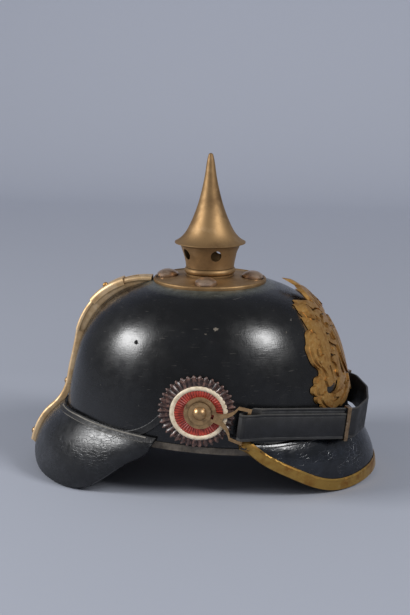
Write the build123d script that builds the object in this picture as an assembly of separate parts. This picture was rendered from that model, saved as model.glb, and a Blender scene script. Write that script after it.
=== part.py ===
from build123d import *
import os
from functools import cache
from math import asin, cos, hypot, radians, sin

os.makedirs("parts", exist_ok=True)

# A leather spiked helmet: +X is its front, +Y the wearer's left, +Z up, in millimetres.
# Every piece is drawn about the spike's axis and is moved to the helmet's own frame at the end.

# Driving dimensions of the leather shell
shell_front = 115.2
shell_back = 117.4
shell_half_width = 96.0
shell_wall = 2.4
shoulder_height = 56.0
dome_top = 162.0
rim_height = 40.5
rim_tilt = 3.7

# Shared values
fit_gap = 0.3
seat_gap = 0.1
overrun = 20.0
standing = (Align.CENTER, Align.CENTER, Align.MIN)
hanging = (Align.CENTER, Align.CENTER, Align.MAX)

# The dome's oval sections, as shares of its height, length and width above the shoulder
height_shares = (-0.29, 0, 0.118, 0.235, 0.353, 0.471, 0.589, 0.69, 0.772, 0.846, 0.899, 0.94, 0.97)
length_shares = (1, 1, 0.984, 0.963, 0.939, 0.908, 0.862, 0.803, 0.735, 0.648, 0.552, 0.44, 0.31)
width_shares = (1, 1, 0.988, 0.972, 0.952, 0.921, 0.876, 0.824, 0.765, 0.69, 0.61, 0.51, 0.375)
shell_half_length = (shell_front + shell_back) / 2
shell_centre = (shell_front - shell_back) / 2
dome_height = dome_top - shoulder_height


@cache
def dome(offset, lean_share=0):
    """The solid inside the shell's outer face moved out by offset, drawn in by a share of the height."""
    sections = []
    last = len(height_shares) - 1
    for index in range(last + 1):
        lower = max(index - 1, 0)
        upper = min(index + 1, last)
        rise = (height_shares[upper] - height_shares[lower]) * dome_height
        inward = (width_shares[lower] - width_shares[upper]) * shell_half_width
        slope_length = hypot(rise, inward)
        outward = offset * rise / slope_length
        upward = offset * inward / slope_length
        height = shoulder_height + dome_height * height_shares[index]
        outward -= lean_share * max(height - rim_height, 0)
        middle = Plane((shell_centre * length_shares[index], 0, height + upward))
        half_length = shell_half_length * length_shares[index] + outward
        half_width = shell_half_width * width_shares[index] + outward
        sections.append(middle * Ellipse(half_length, half_width))
    return loft(sections)


def on_shell(angle, height, offset):
    """A point beside the shell's wall; the angle runs from the front to the left."""
    x = shell_centre + (shell_half_length + offset) * cos(radians(angle))
    return Vector(x, (shell_half_width + offset) * sin(radians(angle)), height)


def below_rim(rise):
    """Everything lower than a plane parallel to the rim."""
    size = shell_half_length * 4
    slab = Box(size, size, size, align=hanging)
    return Pos(0, 0, rim_height + rise) * Rot(0, rim_tilt, 0) * slab


def cap(radius, foot, height):
    """A round cap's half profile, from its rim to the axis."""
    ball = (radius ** 2 + height ** 2) / (2 * height)
    half_turn = asin(radius / ball) / 2
    middle = (ball * sin(half_turn), foot + height - ball + ball * cos(half_turn))
    return ThreePointArc((radius, foot), middle, (0, foot + height))


def above_rim(rise):
    """Everything higher than a plane parallel to the rim."""
    size = shell_half_length * 4
    slab = Box(size, size, size, align=standing)
    return Pos(0, 0, rim_height + rise) * Rot(0, rim_tilt, 0) * slab


def above(height):
    size = shell_half_length * 4
    return Pos(0, 0, height) * Box(size, size, size, align=standing)


def front_half(solid):
    size = shell_half_length * 4
    return solid & Box(size, size, size, align=(Align.MIN, Align.CENTER, Align.CENTER))


def across(x, z, radius, length, start):
    """A cylinder along +Y."""
    rod = Cylinder(radius, length, align=standing)
    return Pos(x, start, z) * Rot(-90, 0, 0) * rod


# Spike base: a round plate on four domed studs
base_radius = 46.0
base_rim_height = 159.9
base_edge_radius = 1.3
base_top_height = 161.4
base_flat_radius = 20.0
vent_bore_radius = 17.0
stud_circle = 34.6
stud_radius = 8.6
stud_height = 4.5
stud_brim = 1.0
stud_shank_radius = 1.6
washer_radius = 5.5
washer_thickness = 1.0
stud_leg_length = 15.0
stud_leg_width = 2.6
stud_leg_thickness = 1.0
stud_angles = (0, 90, 180, 270)

# Neck and spike
boss_radius = 19.4
bead_radius = 20.8
bead_height = 5.4
bead_bottom = 163.2
neck_radii = (19.6, 19.8, 20.7, 22.3, 24.4)
neck_heights = (169.0, 170.9, 175.6, 181.0, 186.9)
neck_wall = 1.0
neck_vent_radius = 4.4
neck_vent_height = 180.2
neck_vent_count = 5
spike_rim_height = 188.3
spike_radii = (28.8, 24.7, 21.2, 16.6, 13.0, 10.0, 7.7, 5.8, 4.3, 3.1, 2.0)
spike_heights = (189.1, 191.7, 195.3, 203.2, 211.7, 220.3, 228.9, 237.4, 246.0, 254.4, 259.2)
spike_tip = 260.9
spike_wall = 1.2


def vent_bore():
    return Pos(0, 0, dome_top - overrun) * Cylinder(vent_bore_radius, overrun * 2)


def stud_places():
    return [Rot(0, 0, angle) * Pos(stud_circle, 0, 0) for angle in stud_angles]


# Rear spine: a hollow rail on a circle about a cross axis, then a strip down the back and the visor
rail_centre_x = -51.7
rail_centre_z = 99.1
rail_radius = 61.0
rail_head_depth = 3.1
rail_head_half = 6.6
rail_web_half = 5.2
rail_sheet = 1.0
rail_foot_depth = 12.0
rail_corner = 2.0
rail_top_angle = 86.0
rail_foot_angle = 166.0
slot_angle = 102.0
slot_length = 12.0
slot_width = 5.0
spine_half_width = 5.4
spine_height = 4.6
spine_seat_shares = (0.15, 0.4, 0.7, 1)
spine_edge = 2.0
slider_top_angle = 108.5
slider_foot_angle = 139.2
slider_sheet = 1.0
slider_knob_radius = 2.3
slider_knob_height = 2.2
slider_knob_round = 1.8
rivet_radius = 3.4
rivet_share = 0.86

# Side posts, cockades and lugs, given for the right side and mirrored for the left
post_x = 2.5
post_z = 73.2
cockade_back = 97.1
cockade_thickness = 3.0
cockade_radius = 30.5
cockade_white_radius = 23.0
cockade_red_radius = 19.2
cockade_pleats = 38
cockade_pleat_depth = 1.8
cockade_bore_radius = 3.4
post_shank_radius = 2.6
post_neck_radius = 4.0
post_head_radius = 8.8
post_head_thickness = 1.3
post_boss_radius = 5.2
post_boss_height = 3.6
post_plate_radius = 9.0
post_plate_thickness = 1.2
post_nut_radius = 5.5
post_nut_thickness = 2.6
post_tail = 0.7
lug_ring_radius = 12.5
lug_sheet = 1.2
lug_droop = 16.0
lug_reach = 36.0
lug_waist_half = 4.0
lug_waist_at = 13.0
lug_shoulder_at = 27.0
lug_shoulder_half = 14.0
lug_bend_at = 21.6
lug_bend_half = 7.0
lug_bar_half = 14.8
lug_bar_width = 2.4
lug_arm = 2.6
lug_slot_length = 7.0
lug_slot_width = 3.6
lug_back = cockade_back + cockade_thickness + fit_gap + seat_gap
lug_middle = lug_back + lug_sheet / 2

# Chinstrap: one long strap and a return at each side, which ends at a sliding buckle
strap_width = 25.0
return_width = 21.0
strap_layer = 1.8
strap_slope = 6.7
strap_front = 130.6
strap_corner_x = 121.5
strap_corner_y = 53.2
strap_corner_radius = 15.0
strap_nose_half = 19.0
strap_nose_radius = 30.0
fold_length = 12.0
buckle_wall = 1.0
strap_raise = (strap_width - return_width) / 2
buckle_length = 3.2
buckle_x = 115.2

# Visors: each is a strip between a line on the shell and a free edge
visor_leather = 2.4
rear_visor_reach = 145.6
front_visor_reach = 137.4
visor_half_width = 96.6
rear_seam_height = 53.0
front_seam_height = 50.0
rear_visor_bulge_share = 0.108
front_visor_bulge_share = 0.1
welt_width = 5.0
welt_leather = 0.7
trim_width = 6.0
trim_sheet = 0.8

# Free edge: shares of reach, half width and seam height; seam: angle from the middle and height share
rear_edge_shares = (
    (1, 0, 0.279),
    (0.988, 0.155, 0.226),
    (0.95, 0.34, 0.113),
    (0.847, 0.598, 0.036),
    (0.673, 0.804, 0.028),
    (0.474, 0.943, 0.349),
    (0.357, 0.983, 0.575),
    (0.258, 1, 0.758),
)
rear_seam_angles = (0, 10, 21, 35, 50, 61, 69, 75)
rear_seam_shares = (1, 1.01, 1.03, 1.045, 1.01, 0.985, 0.96, 0.935)
front_edge_shares = (
    (1, 0, 0.134),
    (0.976, 0.206, 0.094),
    (0.901, 0.412, 0.05),
    (0.774, 0.603, 0.043),
    (0.579, 0.799, 0.27),
    (0.409, 0.912, 0.546),
    (0.304, 0.959, 0.77),
    (0.242, 0.99, 0.91),
)
front_seam_angles = (0, 11, 21, 32, 46, 60, 68, 73.5)
front_seam_shares = (1, 0.996, 0.98, 0.95, 0.91, 0.9, 0.92, 0.96)


def visor_stations(reach, seam_height, edge_shares, seam_angles, seam_shares, side, bulge_share):
    """Seam point, edge point, outward normal and bulge of each section, from the left end to the right."""
    half = []
    for shares, angle, seam_share in zip(edge_shares, seam_angles, seam_shares):
        x_share, y_share, z_share = shares
        turn = angle if side > 0 else 180 - angle
        seam = on_shell(turn, seam_height * seam_share, visor_leather / 2)
        edge = Vector(side * reach * x_share, visor_half_width * y_share, seam_height * z_share)
        half.append((seam, edge))
    flip = [(Vector(a.X, -a.Y, a.Z), Vector(b.X, -b.Y, b.Z)) for a, b in half[1:]]
    pairs = half[:0:-1] + [half[0]] + flip
    stations = []
    for index, pair in enumerate(pairs):
        seam, edge = pair
        before = pairs[max(index - 1, 0)]
        after = pairs[min(index + 1, len(pairs) - 1)]
        along = (after[0] + after[1]) - (before[0] + before[1])
        normal = (edge - seam).cross(along).normalized()
        if normal.dot(Vector(seam.X, seam.Y, 0)) < 0:
            normal = normal * -1
        stations.append((seam, edge, normal, (edge - seam).length * bulge_share))
    return stations


def on_station(station, share, offset):
    """A point at a share of the way from the seam to the edge, moved along the normal."""
    seam, edge, normal, bulge = station
    return seam + (edge - seam) * share + normal * (bulge * 4 * share * (1 - share) + offset)


def visor_section(station, start, end, low, high):
    middle = (start + end) / 2
    top = ThreePointArc(*[on_station(station, share, high) for share in (start, middle, end)])
    bottom = ThreePointArc(*[on_station(station, share, low) for share in (end, middle, start)])
    return Face(Wire([top, Line(top @ 1, bottom @ 0), bottom, Line(bottom @ 1, top @ 0)]))


def rear_stations():
    return visor_stations(
        rear_visor_reach, rear_seam_height, rear_edge_shares, rear_seam_angles, rear_seam_shares,
        -1, rear_visor_bulge_share,
    )


def front_stations():
    return visor_stations(
        front_visor_reach, front_seam_height, front_edge_shares, front_seam_angles, front_seam_shares,
        1, front_visor_bulge_share,
    )


def visor(stations):
    half = visor_leather / 2
    return loft([visor_section(station, 0, 1, -half, half) for station in stations])


def welt(stations):
    """The stitched band along the seam, before the visor is cut from it."""
    sections = []
    for station in stations:
        share = welt_width / (station[1] - station[0]).length
        sections.append(visor_section(station, 0, share, 0, visor_leather / 2 + welt_leather))
    return loft(sections)


def trim(stations):
    """The brass channel round the front visor's edge, before the visor is cut from it."""
    sections = []
    half = visor_leather / 2 + trim_sheet
    for station in stations:
        span = (station[1] - station[0]).length
        start = 1 - min(trim_width / span, 1)
        sections.append(visor_section(station, start, 1 + trim_sheet / span, -half, half))
    return loft(sections)

# Lining: a leather band at the rim with tongues that lean in towards the crown
binding_leather = 0.8
binding_height = 4.5
liner_leather = 1.6
liner_gap = 0.8
liner_lean_share = 0.18
liner_foot = 3.0
liner_tongue_start = 62.0
liner_top = 112.0
liner_tongues = 10
liner_notch_half = 15.0
liner_eyelet_radius = 1.6
liner_eyelet_drop = 6.0

# Front plate, drawn flat as seen from the front and laid on the dome
plate_gap = 0.5
plate_sheet = 1.9
plate_relief = 1.6
plate_boss = 3.4
plate_crown_front = 3.9
plate_crown_sheet = 2.4
plate_crown_lean = 7.5
plate_crown_foot_x = 90.0
plate_crown_foot_z = 135.0
plate_back = 40.0
plate_loop_y = 36.0
plate_loop_z = 104.0
plate_loop_wire = 1.2
plate_loop_half = 4.5
plate_loop_depth = 6.5
plate_wedge_length = 22.0
plate_wedge_thickness = 4.0

# Left half of the plate's outline from the crown's foot down: runs of (out, up), each a smooth line
plate_outline = (
    ((0.0, 138.2), (5.0, 137.8), (9.6, 138.2)),
    ((9.6, 138.2), (11.4, 136.0)),
    ((11.4, 136.0), (14.0, 141.4), (18.6, 145.8), (24.0, 147.0)),
    ((24.0, 147.0), (26.4, 145.2), (30.4, 145.0)),
    ((30.4, 145.0), (31.0, 142.0), (35.0, 139.4)),
    ((35.0, 139.4), (35.2, 136.0), (39.0, 132.4)),
    ((39.0, 132.4), (38.8, 129.0), (37.0, 126.4)),
    ((37.0, 126.4), (40.0, 127.0), (43.4, 126.4)),
    ((43.4, 126.4), (47.6, 122.8), (48.8, 118.0)),
    ((48.8, 118.0), (52.8, 115.0), (54.0, 108.0), (53.6, 102.4), (50.6, 98.2)),
    ((50.6, 98.2), (49.6, 94.6), (51.2, 91.8)),
    ((51.2, 91.8), (54.8, 91.2), (56.4, 88.2), (55.2, 85.4)),
    ((55.2, 85.4), (59.2, 84.4), (60.2, 80.4), (57.4, 77.6)),
    ((57.4, 77.6), (58.8, 75.4), (58.0, 71.8), (55.0, 70.8)),
    ((55.0, 70.8), (55.2, 67.6), (52.0, 66.2), (49.2, 67.6)),
    ((49.2, 67.6), (46.0, 64.4), (41.4, 64.2), (38.6, 66.2)),
    ((38.6, 66.2), (34.0, 63.8), (28.0, 65.2), (20.0, 69.4), (10.0, 71.0), (4.4, 69.6)),
    ((4.4, 69.6), (2.6, 67.4), (0.0, 66.8)),
)

# Piercings, beast, crown and scrolls as tapering strokes: points, then widths from end to end
plate_piercings = (
    (((50.6, 107.6), (50.4, 104.0), (48.6, 101.4)), (1.2, 3.0, 1.4)),
    (((46.0, 113.4), (47.0, 109.0), (46.4, 104.4)), (1.0, 2.4, 1.2)),
    (((37.4, 103.6), (32.0, 107.4), (26.4, 103.2), (23.6, 95.0)), (1.2, 2.4, 2.6, 1.4)),
    (((38.4, 98.0), (37.6, 92.0), (38.4, 87.4)), (1.6, 2.6, 2.0)),
    (((27.5, 86.6), (34.0, 81.6), (41.0, 79.8), (48.0, 80.4)), (1.6, 6.0, 7.2, 4.2)),
    (((9.0, 132.4), (17.0, 131.4), (21.6, 127.0)), (2.0, 4.4, 1.6)),
    (((18.6, 121.0), (20.4, 114.4), (18.0, 108.0)), (1.6, 3.6, 1.6)),
    (((18.4, 100.0), (18.0, 92.0), (12.6, 84.6)), (1.6, 5.0, 3.0)),
    (((20.4, 79.0), (15.0, 78.4), (9.0, 80.6)), (1.4, 3.4, 2.0)),
)
plate_beast = (
    (((32.0, 134.0), (35.0, 124.0), (38.0, 112.0), (42.0, 102.0)), (11.0, 12.0, 9.0, 5.0)),
    (((40.0, 104.0), (45.0, 96.0), (43.6, 90.0), (48.0, 85.4)), (9.0, 7.0, 4.4, 5.6)),
    (((34.0, 110.0), (27.6, 106.6), (25.4, 110.0)), (5.0, 2.6, 2.0)),
    (((35.0, 102.0), (29.6, 100.4), (28.0, 94.0), (31.6, 89.0)), (3.6, 6.4, 5.0, 4.0)),
    (((28.0, 126.0), (22.0, 122.4), (16.4, 124.6)), (5.4, 3.8, 4.4)),
    (((29.0, 118.0), (23.6, 113.6), (17.2, 112.4)), (4.6, 3.4, 4.0)),
    (((41.6, 123.4), (46.4, 119.4), (50.6, 113.0), (52.4, 106.0), (49.8, 99.8)), (4.4, 5.0, 3.0, 1.6, 1.4)),
    (((40.8, 118.4), (44.6, 116.4), (48.4, 113.8)), (2.0, 3.4, 1.4)),
)
plate_head = (
    (((15.6, 140.4), (20.4, 143.6), (26.0, 142.6)), (3.2, 5.6, 4.6)),
    (((17.6, 136.6), (22.6, 137.8), (27.4, 135.8)), (2.4, 3.6, 3.0)),
    (((27.6, 144.0), (31.2, 139.6), (33.4, 134.4)), (2.2, 4.4, 2.2)),
    (((27.4, 132.6), (28.0, 137.0), (30.4, 138.6)), (2.0, 3.6, 2.0)),
)
plate_crown = (
    (((0.0, 136.2), (5.0, 135.8), (10.4, 136.4)), (4.2, 4.2, 3.6)),
    (((9.8, 136.6), (12.0, 143.0), (7.4, 149.0), (0.0, 150.2)), (2.8, 3.6, 3.2, 2.8)),
    (((4.6, 136.6), (6.0, 143.0), (1.6, 149.6)), (2.0, 2.6, 2.0)),
    (((0.0, 136.0), (0.0, 143.0), (0.0, 150.0)), (2.2, 2.8, 2.4)),
    (((0.0, 148.0), (0.0, 152.4), (0.0, 156.2)), (2.8, 6.0, 2.2)),
)
plate_scrolls = (
    (((0.0, 73.6), (14.0, 74.0), (28.0, 68.4), (38.0, 67.4)), (3.4, 3.8, 3.6, 3.0)),
    (((36.0, 70.6), (43.6, 67.8), (50.6, 69.8), (53.6, 75.2), (50.2, 78.6)), (3.2, 4.4, 5.0, 4.4, 2.4)),
    (((52.2, 88.8), (55.2, 83.6), (56.2, 78.8)), (3.2, 4.6, 3.0)),
    (((28.0, 75.4), (35.0, 74.4), (42.0, 74.6)), (2.6, 3.6, 2.4)),
    (((0.0, 69.4), (0.0, 76.0), (0.0, 82.6)), (4.4, 8.0, 3.0)),
)

# Left half of the shield, and how much smaller its sunk border is
plate_shield_points = ((0.0, 125.0), (15.6, 128.0), (15.0, 103.0), (9.8, 91.4), (0.0, 84.0))
plate_border_shares = (0.88, 0.76)


def rail_plane(angle):
    """A plane through the rail's axis: local x runs outward and local y to the left."""
    outward = (cos(radians(angle)), 0, sin(radians(angle)))
    forward = (-sin(radians(angle)), 0, cos(radians(angle)))
    return Plane(origin=(rail_centre_x, 0, rail_centre_z), x_dir=outward, z_dir=forward)


def rail_sweep(profile, foot_angle, top_angle):
    axis = Axis((rail_centre_x, 0, rail_centre_z), (0, 1, 0))
    return revolve(rail_plane(foot_angle) * profile, axis, foot_angle - top_angle)


def rail_block(inner_radius, outer_radius, half_width):
    """A rectangle between two radii, drawn on a rail plane."""
    depth = outer_radius - inner_radius
    return Pos((inner_radius + outer_radius) / 2, 0) * Rectangle(depth, half_width * 2)


def rounded_top(profile, radius, outer_radius):
    corners = profile.vertices().filter_by_position(Axis.X, outer_radius - seat_gap, outer_radius + seat_gap)
    return fillet(corners, radius)


def make_shell():
    shell = outer_dome - inner_dome - below_rim(0) - vent_bore()
    for place in stud_places():
        shell -= place * Pos(0, 0, dome_top) * Cylinder(stud_shank_radius + seat_gap, overrun * 2)
    shell -= across(post_x, post_z, post_shank_radius + seat_gap, shell_half_width * 4, -shell_half_width * 2)
    for side in (-1, 1):
        for offset in (-plate_loop_half, plate_loop_half):
            shell -= loop_leg(side, offset, plate_loop_wire + seat_gap)
    return shell


def make_rim_binding():
    outside = dome(binding_leather) - below_rim(-binding_leather)
    lip = outside - dome(-shell_wall - binding_leather)
    return lip - above_rim(binding_height) - shell - rear_visor - front_visor


def make_sweatband():
    outer = dome(-shell_wall - binding_leather - liner_gap, liner_lean_share)
    inner = dome(-shell_wall - binding_leather - liner_gap - liner_leather, liner_lean_share)
    band = outer - inner - below_rim(liner_foot) - above(liner_top)
    notch_height = liner_top - liner_tongue_start
    notch = Polyline(
        (0, liner_tongue_start), (liner_notch_half, liner_top + fit_gap),
        (-liner_notch_half, liner_top + fit_gap), (0, liner_tongue_start),
    )
    wedge = extrude(Plane.YZ * make_face(notch), shell_front + overrun)
    eyelet = Pos(0, 0, liner_top - liner_eyelet_drop) * Rot(0, 90, 0) * Cylinder(
        liner_eyelet_radius, shell_front + overrun, align=standing)
    turn = 360 / liner_tongues
    for index in range(liner_tongues):
        band -= Rot(0, 0, turn * index) * wedge
        band -= Rot(0, 0, turn * (index + 1 / 2)) * eyelet
    return band


def make_base_plate():
    """A shallow dish with a rolled rim, seated on the crown."""
    edge = base_radius - base_edge_radius
    flat = Polyline(
        (0, dome_top - overrun), (base_radius, dome_top - overrun),
        (base_radius, base_rim_height - base_edge_radius),
    )
    roll = ThreePointArc(
        flat @ 1, (edge, base_rim_height), (edge - base_edge_radius, base_rim_height - base_edge_radius / 2))
    dish = Polyline(roll @ 1, (base_flat_radius, base_top_height), (0, base_top_height), flat @ 0)
    plate = revolve(Plane.XZ * make_face([flat, roll, dish]), Axis.Z)
    plate -= outer_dome
    plate -= vent_bore()
    for place in stud_places():
        plate -= place * Pos(0, 0, dome_top) * Cylinder(stud_shank_radius + seat_gap, overrun * 2)
    return plate


def make_base_studs():
    """Domed heads on shanks whose split legs are spread under the crown."""
    under = dome(-shell_wall - washer_thickness)
    layer = under - dome(-shell_wall - washer_thickness - stud_leg_thickness)
    studs = []
    for place in stud_places():
        foot = base_rim_height - base_edge_radius
        brim = Pos(0, 0, foot) * Cylinder(stud_radius, base_top_height - foot + stud_brim, align=standing)
        crown_height = stud_height - stud_brim
        ball = (stud_radius ** 2 + crown_height ** 2) / (2 * crown_height)
        crown_foot = base_top_height + stud_brim
        crown = Pos(0, 0, crown_foot + crown_height - ball) * Sphere(ball)
        head = place * (brim + (crown & above(crown_foot)))
        shank_foot = dome_top - overrun
        shank = place * Pos(0, 0, shank_foot) * Cylinder(stud_shank_radius, overrun, align=standing)
        legs = place * Pos(0, 0, dome_top) * Box(stud_leg_width, stud_leg_length, overrun * 2)
        shank -= dome(-shell_wall - washer_thickness - stud_leg_thickness)
        studs.append((head - base_plate - outer_dome) + (shank & above(shank_foot)) + (legs & layer))
    return studs


def make_stud_washers():
    layer = inner_dome - dome(-shell_wall - washer_thickness)
    washers = []
    for place in stud_places():
        disc = place * Pos(0, 0, dome_top) * Cylinder(washer_radius, overrun * 2)
        bore = place * Pos(0, 0, dome_top) * Cylinder(stud_shank_radius + seat_gap, overrun * 2)
        washers.append((disc & layer) - bore)
    return washers


def make_bead_ring():
    """The moulding between the base plate and the neck, with its short boss below."""
    boss = Pos(0, 0, base_top_height) * Cylinder(boss_radius, bead_bottom - base_top_height, align=standing)
    half = bead_height / 2
    bead = Pos(0, 0, bead_bottom + half) * Torus(bead_radius - half, half)
    core = Pos(0, 0, bead_bottom) * Cylinder(bead_radius - half, bead_height, align=standing)
    bore = Pos(0, 0, dome_top) * Cylinder(vent_bore_radius, overrun * 2)
    return boss + bead + core - bore


def make_neck():
    """A waisted tube with a ring of vent holes below its flared top."""
    foot = bead_bottom + bead_height
    outer = Spline([(radius, height) for radius, height in zip(neck_radii, neck_heights)])
    inner = Spline([(radius - neck_wall, height) for radius, height in zip(neck_radii, neck_heights)])
    foot_ring = Polyline(
        inner @ 0, (neck_radii[0] - neck_wall, foot), (neck_radii[0], foot), outer @ 0)
    lip = Line(outer @ 1, inner @ 1)
    neck = revolve(Plane.XZ * make_face([outer, inner, foot_ring, lip]), Axis.Z)
    for index in range(neck_vent_count):
        hole = Rot(0, 90, 0) * Cylinder(neck_vent_radius, neck_radii[-1] + overrun, align=standing)
        neck -= Rot(0, 0, index * 360 / neck_vent_count) * Pos(0, 0, neck_vent_height) * hole
    return neck


def make_spike():
    """A hollow concave cone over a sharp brim, closed by a small rounded tip."""
    side = Spline([(radius, height) for radius, height in zip(spike_radii, spike_heights)])
    tip = cap(spike_radii[-1], spike_heights[-1], spike_tip - spike_heights[-1])
    skirt = Polyline(
        (0, spike_tip), (0, neck_heights[-1]), (neck_radii[-1], neck_heights[-1]),
        (spike_radii[0], spike_rim_height), side @ 0,
    )
    body = revolve(Plane.XZ * make_face([side, tip, skirt]), Axis.Z)
    hollow_top = spike_heights[-4]
    hollow = Polyline(
        (0, hollow_top), (0, 0), (neck_radii[-1] - neck_wall - spike_wall, 0),
        (neck_radii[-1] - neck_wall - spike_wall, spike_rim_height),
        (spike_radii[3] - spike_wall, spike_heights[3] - spike_wall),
        (spike_radii[5] - spike_wall * 2, spike_heights[5] - spike_wall), (0, hollow_top),
    )
    return body - revolve(Plane.XZ * make_face(hollow), Axis.Z)


def spine_outline():
    """The strip's side view: down the back from the rail's foot and over the rear visor to its edge."""
    middle = rear_stations()[len(rear_seam_angles) - 1]
    foot = rail_plane(rail_foot_angle).from_local_coords((rail_radius, 0, 0))
    half = visor_leather / 2
    height = half + spine_height
    back = []
    for index in (4, 3, 2):
        back.append((-shell_back * length_shares[index], shoulder_height + dome_height * height_shares[index]))
    outer = [foot] + [Vector(x - spine_height, 0, z) for x, z in back]
    outer += [on_station(middle, share, height) for share in spine_seat_shares]
    inner = [on_station(middle, share, 0) for share in spine_seat_shares[::-1]]
    inner += [Vector(x + half, 0, z) for x, z in back[::-1]]
    inner.append(rail_plane(rail_foot_angle).from_local_coords((rail_radius - spine_height * 2, 0, 0)))
    return outer, inner


def make_rear_spine():
    head = rounded_top(rail_block(rail_radius - rail_head_depth, rail_radius, rail_head_half), rail_corner, rail_radius)
    web = rail_block(rail_radius - rail_foot_depth, rail_radius - rail_head_depth, rail_web_half)
    hollow = rail_block(rail_radius - rail_foot_depth, rail_radius - rail_sheet, rail_web_half - rail_sheet)
    rail = rail_sweep(head + web - hollow, rail_foot_angle, rail_top_angle)
    slot = Box(rail_sheet * 4, slot_width, slot_length)
    rail -= rail_plane(slot_angle).location * Pos(rail_radius, 0, 0) * slot
    outer, inner = spine_outline()
    outside = Spline(*outer)
    inside = Spline(*inner)
    side = make_face([outside, Line(outside @ 1, inside @ 0), inside, Line(inside @ 1, outside @ 0)])
    strip = extrude(side, spine_half_width, both=True)
    ridges = strip.edges().filter_by(lambda edge: abs(edge.length - outside.length) < seat_gap)
    strip = fillet(ridges, spine_edge)
    spine = rail + strip
    return spine - outer_dome - rear_visor - rear_welt


def make_vent_slider():
    inner = rail_radius + fit_gap
    half = rail_head_half + fit_gap
    lip_radius = rail_radius - rail_head_depth - fit_gap
    body = rail_block(lip_radius - slider_sheet, inner + slider_sheet, half + slider_sheet)
    body = rounded_top(body, rail_corner + slider_sheet, inner + slider_sheet)
    room = rounded_top(rail_block(lip_radius, inner, half), rail_corner, inner)
    throat = rail_block(lip_radius - slider_sheet * 2, lip_radius, rail_web_half + fit_gap)
    return rail_sweep(body - room - throat, slider_foot_angle, slider_top_angle)


def make_slider_knob():
    middle = (slider_foot_angle + slider_top_angle) / 2
    foot = rail_radius + fit_gap + slider_sheet
    knob = Cylinder(slider_knob_radius, slider_knob_height + slider_sheet)
    knob = fillet(knob.edges().filter_by(GeomType.CIRCLE).sort_by(Axis.Z)[-1], slider_knob_round)
    place = rail_plane(middle).location * Pos(foot + (slider_knob_height - slider_sheet) / 2, 0, 0) * Rot(0, 90, 0)
    return place * knob - vent_slider


def make_spine_rivets():
    """Two domed rivets that hold the strip to the rear visor and the shell."""
    middle = rear_stations()[len(rear_seam_angles) - 1]
    heads = []
    top = on_station(middle, rivet_share, visor_leather / 2 + spine_height)
    heads.append(Plane(top, x_dir=(0, 1, 0), z_dir=middle[2]))
    x = -shell_back * length_shares[2] - spine_height
    heads.append(Plane((x, 0, shoulder_height + dome_height * height_shares[2]), x_dir=(0, 1, 0), z_dir=(-1, 0, 0)))
    ball = Pos(0, 0, -rivet_radius / 2) * Sphere(rivet_radius)
    return [plane.location * ball - rear_spine - outer_dome - rear_visor for plane in heads]


def make_cockade():
    """The right cockade: a pleated rim, a raised ring and a dished, finely pleated middle."""
    back = -cockade_back
    front = back - cockade_thickness
    rim = Polyline(
        (0, back), (cockade_radius, back), (cockade_radius, back - cockade_thickness / 3),
        (cockade_white_radius, front + cockade_thickness / 6), (cockade_white_radius, front),
        (cockade_red_radius, front), (cockade_red_radius, front + cockade_thickness / 3),
        (post_head_radius, front + cockade_thickness / 6), (post_head_radius, front), (0, front), (0, back),
    )
    disc = revolve(make_face(rim), Axis.Y)
    pitch = 360 / cockade_pleats
    depth = cockade_pleat_depth
    half = cockade_radius * radians(pitch) / 2
    notch = Polyline(
        (cockade_radius - depth, 0), (cockade_radius + depth, half * 2),
        (cockade_radius + depth, -half * 2), (cockade_radius - depth, 0),
    )
    cutter = extrude(Plane.XZ * make_face(notch), overrun, both=True)
    cutter = Pos(0, back, 0) * cutter
    disc -= [Rot(0, pitch * index, 0) * cutter for index in range(cockade_pleats)]
    disc -= across(0, 0, cockade_bore_radius, overrun * 2, back - overrun)
    return Pos(post_x, 0, post_z) * disc


def post_nut_inner():
    """How far the nut's inner face lies from the helmet's middle."""
    wall = shell_half_width * width_shares[3] - shell_wall
    return wall - post_plate_thickness - post_nut_thickness


def make_side_post():
    """The headed stud that carries the lug, with its shank through the shell."""
    head_back = -lug_back - lug_sheet - fit_gap
    head_front = head_back - post_head_thickness
    root = -post_nut_inner() + post_tail
    profile = Polyline(
        (0, root), (post_shank_radius, root), (post_shank_radius, -cockade_back - cockade_thickness),
        (post_neck_radius, -cockade_back - cockade_thickness), (post_neck_radius, head_back),
        (post_head_radius, head_back), (post_head_radius, head_front),
        (post_boss_radius, head_front),
    )
    boss = mirror(cap(post_boss_radius, -head_front, post_boss_height), about=Plane.XZ)
    closing = Line((0, head_front - post_boss_height), (0, root))
    return Pos(post_x, 0, post_z) * revolve(make_face([profile, boss, closing]), Axis.Y)


def make_post_plate():
    """The round plate inside the shell under the post's nut."""
    layer = inner_dome - dome(-shell_wall - post_plate_thickness)
    disc = across(post_x, post_z, post_plate_radius, shell_half_width * 2, -shell_half_width * 2)
    bore = across(post_x, post_z, post_shank_radius + seat_gap, shell_half_width * 2, -shell_half_width * 2)
    return (disc & layer) - bore


def make_post_nut():
    plane = Plane(origin=(post_x, -post_nut_inner(), post_z), x_dir=(1, 0, 0), z_dir=(0, -1, 0))
    nut = extrude(plane * RegularPolygon(post_nut_radius, 6), post_nut_thickness * 3)
    nut &= dome(-shell_wall - post_plate_thickness)
    return nut - across(post_x, post_z, post_shank_radius, shell_half_width * 2, -shell_half_width * 2)


def lug_place():
    return Pos(post_x, 0, post_z) * Rot(0, lug_droop, 0)


def fishtail(waist, bend, shoulder, foot):
    """A closed outline from its upper half, which curves in between the waist and the shoulder."""
    upper = [ThreePointArc(waist, bend, shoulder), Line(shoulder, foot)]
    lower = [mirror(edge, about=Plane.XZ) for edge in upper]
    ends = [Line((x, y), (x, -y)) for x, y in (waist, foot)]
    return make_face([*upper, *lower, *ends])


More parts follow.
